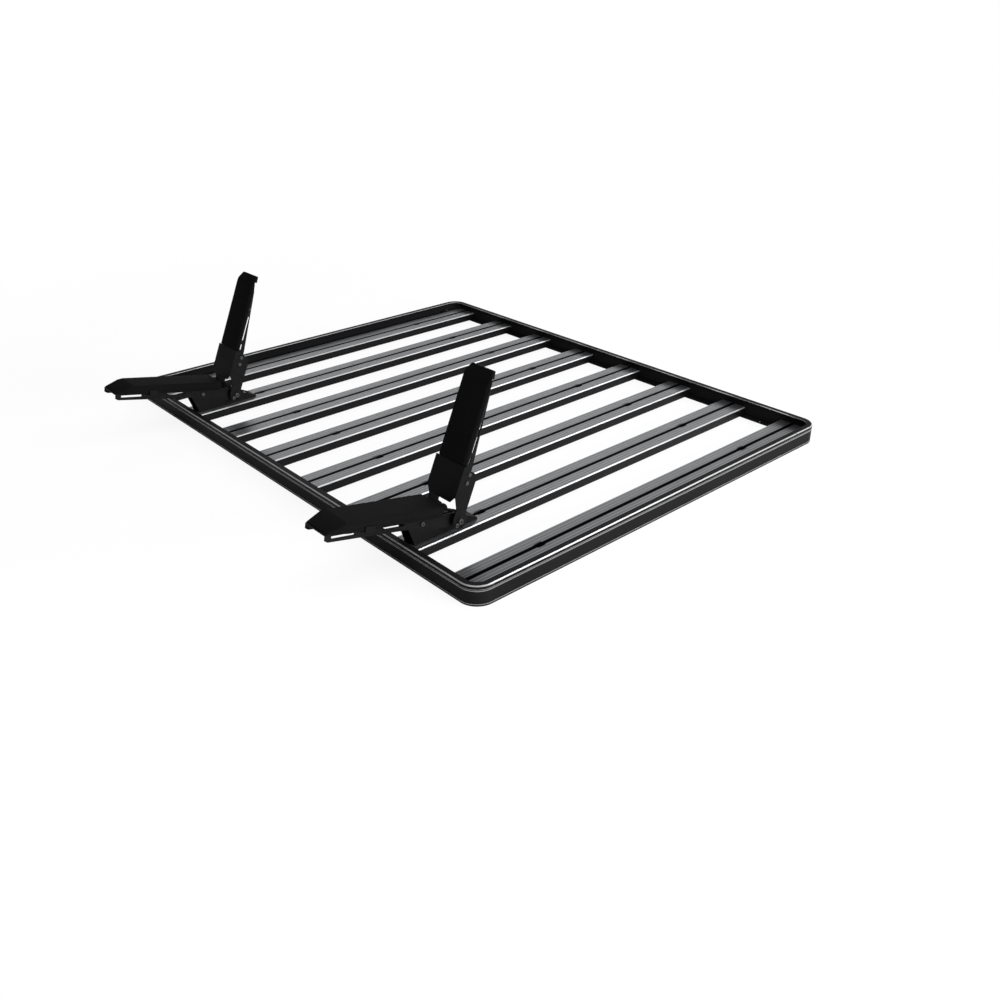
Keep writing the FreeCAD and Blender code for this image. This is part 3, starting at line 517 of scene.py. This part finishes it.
def socket_bolt(head, head_high, shank, shank_long, rounding):
    """Round head with a hexagon socket below 0, shank above 0, along +Z."""
    mesh = bmesh.new()
    socket, depth, point = 0.52 * head, 0.55 * head_high, 0.0006
    stages = [loop_at(mesh, 6, socket, -head_high + depth), loop_at(mesh, 6, socket, -head_high),
              loop_at(mesh, 36, head - rounding, -head_high),
              loop_at(mesh, 36, head - 0.3 * rounding, -head_high + 0.3 * rounding),
              loop_at(mesh, 36, head, -head_high + rounding), loop_at(mesh, 36, head, 0.0),
              loop_at(mesh, 36, shank, 0.0), loop_at(mesh, 36, shank, shank_long - point),
              loop_at(mesh, 36, shank - point, shank_long)]
    for low, high in zip(stages, stages[1:]):
        bmesh.ops.bridge_loops(mesh, edges=low + high)
    for ring in (stages[0], stages[-1]):
        bmesh.ops.edgeloop_fill(mesh, edges=ring)
    return mesh


def hex_nut(flat, bore, high, bevel):
    """Bevelled hexagon nut around a bore, from 0 to its height along +Z."""
    mesh = bmesh.new()
    corner = flat / math.cos(math.radians(30))
    stages = [loop_at(mesh, 24, bore, 0.0), loop_at(mesh, 24, bore, high),
              loop_at(mesh, 24, flat - 0.2 * bevel, high), loop_at(mesh, 6, corner, high - bevel),
              loop_at(mesh, 6, corner, bevel), loop_at(mesh, 24, flat - 0.2 * bevel, 0.0)]
    for low, high_ring in zip(stages, stages[1:] + stages[:1]):
        bmesh.ops.bridge_loops(mesh, edges=low + high_ring)
    return mesh


def lay(mesh, turned, place):
    """Turn a fastener that was built along +Z and put it in its place."""
    bmesh.ops.transform(mesh, matrix=Matrix.Translation(place) @ turned, verts=mesh.verts)


def joined(meshes):
    """One bmesh of several."""
    whole = bmesh.new()
    for mesh in meshes:
        data = bpy.data.meshes.new("joined")
        mesh.to_mesh(data)
        mesh.free()
        whole.from_mesh(data)
        bpy.data.meshes.remove(data)
    return whole


TO_FRONT = Matrix.Rotation(math.radians(-90), 4, "X")


# Operators

class CARRIER_OT_platform(bpy.types.Operator):
    """Finish the rails, corners and slats of the platform"""
    bl_idname = "carrier.platform"
    bl_label = "Platform finishes"

    def execute(self, context):
        colours = context.scene.carrier_colours
        rails = [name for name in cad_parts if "_rail" in name]
        corners = [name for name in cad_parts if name.startswith("corner_") and "bolts" not in name]
        dress(rail_finish("rail_coat", colours.rail, colours.wear_and_highlight), rails)
        dress(rail_finish("corner_coat", shade(colours.rail, 1.15), colours.wear_and_highlight), corners)
        slats = [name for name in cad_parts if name.startswith("slat_") and name != "slat_screws"]
        dress(slat_finish("slat_anodised", colours.slat, colours.slat_edge_highlight, colours.slat_side), slats)
        dress(plated_steel("screw_zinc", colours.zinc), ["slat_screws"])
        dress(black_oxide("gusset_bolt_black", colours.bolt, colours.wear_and_highlight), ["corner_bolts"])
        return {"FINISHED"}


class CARRIER_OT_brackets(bpy.types.Operator):
    """Finish the feet, trays, arm brackets, spacers and hidden screws of the cradles"""
    bl_idname = "carrier.brackets"
    bl_label = "Bracket finishes"

    def execute(self, context):
        colours = context.scene.carrier_colours
        dress(powder_coat("bracket_coat", colours.bracket, 0.46), both("foot_bracket", "arm_bracket"))
        dress(powder_coat("tray_coat", shade(colours.bracket, 0.9), 0.5, pebble=1.2),
              both("base_tray", "arm_tray"))
        dress(spacer_plastic("spacer_black", colours.pad), both("pivot_spacers", "tray_spacers"))
        dress(plated_steel("cradle_zinc", colours.zinc),
              both("base_pad_screws", "arm_pad_screws", "slot_bolts", "slot_washers"))
        dress(black_oxide("cradle_screw_black", colours.bolt, colours.wear_and_highlight), both("joint_screws"))
        return {"FINISHED"}


class CARRIER_OT_base_pads(bpy.types.Operator):
    """Mould the pads of the two bases"""
    bl_idname = "carrier.base_pads"
    bl_label = "Base pads"

    def execute(self, context):
        sizes = context.scene.carrier_cradle
        rubber = pad_rubber("base_pad_rubber", context.scene.carrier_colours.pad)
        for cradle, y in cradle_places(sizes).items():
            mesh = base_pad_shape(sizes)
            set_on_hinge(mesh, sizes.base_slope, sizes, y)
            pad = piece(f"{cradle}_base_pad_moulded", mesh, rubber, ROOT, "pad_rubber", f"{cradle}_base_pad")
        return {"FINISHED"}


class CARRIER_OT_arm_pads(bpy.types.Operator):
    """Mould the pads of the two arms"""
    bl_idname = "carrier.arm_pads"
    bl_label = "Arm pads"

    def execute(self, context):
        sizes = context.scene.carrier_cradle
        rubber = pad_rubber("arm_pad_rubber", context.scene.carrier_colours.pad)
        for cradle, y in cradle_places(sizes).items():
            mesh = arm_pad_shape(sizes)
            set_on_hinge(mesh, -sizes.arm_angle, sizes, y)
            pad = piece(f"{cradle}_arm_pad_moulded", mesh, rubber, CRADLES[cradle], "pad_rubber",
                        f"{cradle}_arm_pad")
        return {"FINISHED"}


class CARRIER_OT_bolts(bpy.types.Operator):
    """Make the hinge, guide and tray bolts with hexagon sockets, and their nuts"""
    bl_idname = "carrier.bolts"
    bl_label = "Bolts and nuts"

    def execute(self, context):
        sizes = context.scene.carrier_fasteners
        colours = context.scene.carrier_colours
        black = black_oxide("bolt_black", colours.bolt, colours.wear_and_highlight)
        zinc = plated_steel("nut_zinc", colours.zinc)
        kinds = {"pivot": (sizes.pivot_head, sizes.pivot_head_high, sizes.pivot_shank),
                 "guide": (sizes.guide_head, sizes.guide_head_high, sizes.guide_shank),
                 "tray": (sizes.guide_head, sizes.guide_head_high, sizes.guide_shank)}
        bore_clearance = 0.0003
        for cradle in CRADLES:
            for kind, (head, head_high, shank) in kinds.items():
                low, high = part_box(f"{cradle}_{kind}_bolt")
                axis = (low + high) / 2
                bolt = socket_bolt(head, head_high, shank, high.y - low.y - head_high, sizes.head_bevel)
                lay(bolt, TO_FRONT, (axis.x, low.y + head_high, axis.z))
                piece(f"{cradle}_{kind}_bolt_detail", bolt, black, ROOT, "black_bolt",
                      f"{cradle}_{kind}_bolt")
                low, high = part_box(f"{cradle}_{kind}_nut")
                nut = hex_nut(head, shank + bore_clearance, high.y - low.y, sizes.nut_bevel)
                lay(nut, TO_FRONT, (axis.x, low.y, axis.z))
                piece(f"{cradle}_{kind}_nut_detail", nut, black, ROOT, "black_bolt",
                      f"{cradle}_{kind}_nut")
            low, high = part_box(f"{cradle}_slot_nuts")
            flat = (high.y - low.y) / 2
            corner = flat / math.cos(math.radians(30))
            nuts = []
            for x in (low.x + corner, high.x - corner):
                nuts.append(hex_nut(flat, sizes.slot_nut_bore, high.z - low.z, sizes.nut_bevel))
                lay(nuts[-1], Matrix.Identity(4), (x, (low.y + high.y) / 2, low.z))
            piece(f"{cradle}_slot_nuts_detail", joined(nuts), zinc, ROOT, "zinc_steel",
                  f"{cradle}_slot_nuts")
        return {"FINISHED"}


class CARRIER_OT_stage(bpy.types.Operator):
    """Set the floor, the surroundings, the lamps and the camera"""
    bl_idname = "carrier.stage"
    bl_label = "Stage"

    def execute(self, context):
        stage = context.scene.carrier_stage
        self.make_floor(stage)
        self.make_world(context.scene, stage)
        self.add_lamp("key", (-0.4, -0.6, 3.4), (0, 0, 0), 2.6, 2.6, stage.key)
        self.add_lamp("sheen", (2.9, 3.2, 2.3), (0, 0, 0), 5.0, 1.8, stage.sheen)
        self.add_lamp("edge", (2.4, -1.9, 2.7), (0, 0, 0), 2.4, 1.2, stage.edge)
        self.add_lamp("front", (0.7, -3.7, 0.9), (0.2, -0.8, 0), 2.6, 0.8, stage.front)
        self.add_lamp("fill", (-3.2, -1.2, 1.6), (0, 0, 0.1), 1.6, 1.2, stage.fill)
        self.add_camera(context.scene, stage)
        context.scene.view_settings.view_transform = "Standard"
        return {"FINISHED"}

    def make_floor(self, stage):
        mesh = bmesh.new()
        bmesh.ops.create_grid(mesh, x_segments=1, y_segments=1, size=60.0,
                              matrix=Matrix.Translation((0, 0, -0.0005)))
        data = bpy.data.meshes.new("floor")
        mesh.to_mesh(data)
        mesh.free()
        floor = bpy.data.objects.new("floor", data)
        bpy.context.collection.objects.link(floor)
        finish = Finish("floor_paper")
        finish.surface(Base_Color=tuple(stage.floor), Roughness=0.9, Specular_IOR_Level=0.1)
        near_share, near, away = 0.88, 1.2, 2.6
        seen = Number(finish, finish.node("ShaderNodeLightPath", {}).outputs["Is Camera Ray"])
        reach = finish.node("ShaderNodeVectorMath", {"operation": "LENGTH"}, finish.place)
        far = finish.step(Number(finish, reach.outputs["Value"]), near, away)
        glow = finish.node("ShaderNodeEmission", {}, Color=(1, 1, 1), Strength=1.0)
        mix = finish.node("ShaderNodeMixShader", {}, seen * (near_share + far * (1 - near_share)),
                          finish.shader.outputs[0], glow.outputs[0])
        finish.feed(finish.tree.nodes["Material Output"].inputs[0], mix.outputs[0])
        data.materials.append(finish.material)

    def make_world(self, scene, stage):
        world = bpy.data.worlds.new("studio")
        world.use_nodes = True
        nodes, links = world.node_tree.nodes, world.node_tree.links
        backdrop = nodes["Background"]
        backdrop.inputs["Color"].default_value = (1, 1, 1, 1)
        path = nodes.new("ShaderNodeLightPath")
        camera = nodes.new("ShaderNodeMath")
        camera.operation = "MULTIPLY_ADD"
        camera.inputs[1].default_value = 1.0 - stage.world_light
        camera.inputs[2].default_value = stage.world_light
        gloss = nodes.new("ShaderNodeMath")
        gloss.operation = "MULTIPLY_ADD"
        gloss.inputs[1].default_value = stage.world_gloss - stage.world_light
        links.new(path.outputs["Is Camera Ray"], camera.inputs[0])
        links.new(path.outputs["Is Glossy Ray"], gloss.inputs[0])
        links.new(camera.outputs[0], gloss.inputs[2])
        links.new(gloss.outputs[0], backdrop.inputs["Strength"])
        scene.world = world

    def add_lamp(self, name, place, target, wide, high, power):
        data = bpy.data.lights.new(name, "AREA")
        data.shape = "RECTANGLE"
        data.size, data.size_y = wide, high
        data.energy = power
        lamp = bpy.data.objects.new(name, data)
        lamp.location = place
        lamp.rotation_euler = (Vector(target) - Vector(place)).to_track_quat("-Z", "Y").to_euler()
        bpy.context.collection.objects.link(lamp)

    def add_camera(self, scene, stage):
        data = bpy.data.cameras.new("camera")
        data.lens = stage.lens
        data.sensor_width = 36.0
        data.sensor_fit = "HORIZONTAL"
        data.clip_end = 200.0
        camera = bpy.data.objects.new("camera", data)
        right, up, back = ((0.7420, -0.6704, 0.0), (0.3165, 0.3503, 0.8815), (-0.5910, -0.6541, 0.4721))
        turned = Matrix((right, up, back)).transposed().to_4x4()
        camera.matrix_world = Matrix.Translation((-1.706383, -2.049636, 1.150302)) @ turned
        bpy.context.collection.objects.link(camera)
        scene.camera = camera


STEPS = (CARRIER_OT_platform, CARRIER_OT_brackets, CARRIER_OT_base_pads, CARRIER_OT_arm_pads,
         CARRIER_OT_bolts, CARRIER_OT_stage)
GROUPS = {"carrier_colours": CarrierColours, "carrier_cradle": CradleSizes,
          "carrier_fasteners": FastenerSizes, "carrier_stage": StageSetup}


class CARRIER_PT_panel(bpy.types.Panel):
    """Buttons of the kayak carrier and its sizes"""
    bl_idname = "CARRIER_PT_panel"
    bl_label = "Kayak carrier"
    bl_space_type = "VIEW_3D"
    bl_region_type = "UI"
    bl_category = "Kayak carrier"

    def draw(self, context):
        for name, group in GROUPS.items():
            box = self.layout.box()
            for key in group.__annotations__:
                box.prop(getattr(context.scene, name), key)
        for step in STEPS:
            self.layout.operator(step.bl_idname)


def register():
    for group in GROUPS.values():
        bpy.utils.register_class(group)
    for step in STEPS + (CARRIER_PT_panel,):
        bpy.utils.register_class(step)
    for name, group in GROUPS.items():
        setattr(bpy.types.Scene, name, PointerProperty(type=group))


def unregister():
    for name in GROUPS:
        delattr(bpy.types.Scene, name)
    for step in (CARRIER_PT_panel,) + STEPS[::-1]:
        bpy.utils.unregister_class(step)
    for group in GROUPS.values():
        bpy.utils.unregister_class(group)


def main():
    register()
    for step in STEPS:
        group, name = step.bl_idname.split(".")
        getattr(getattr(bpy.ops, group), name)()


if __name__ == "__main__":
    main()
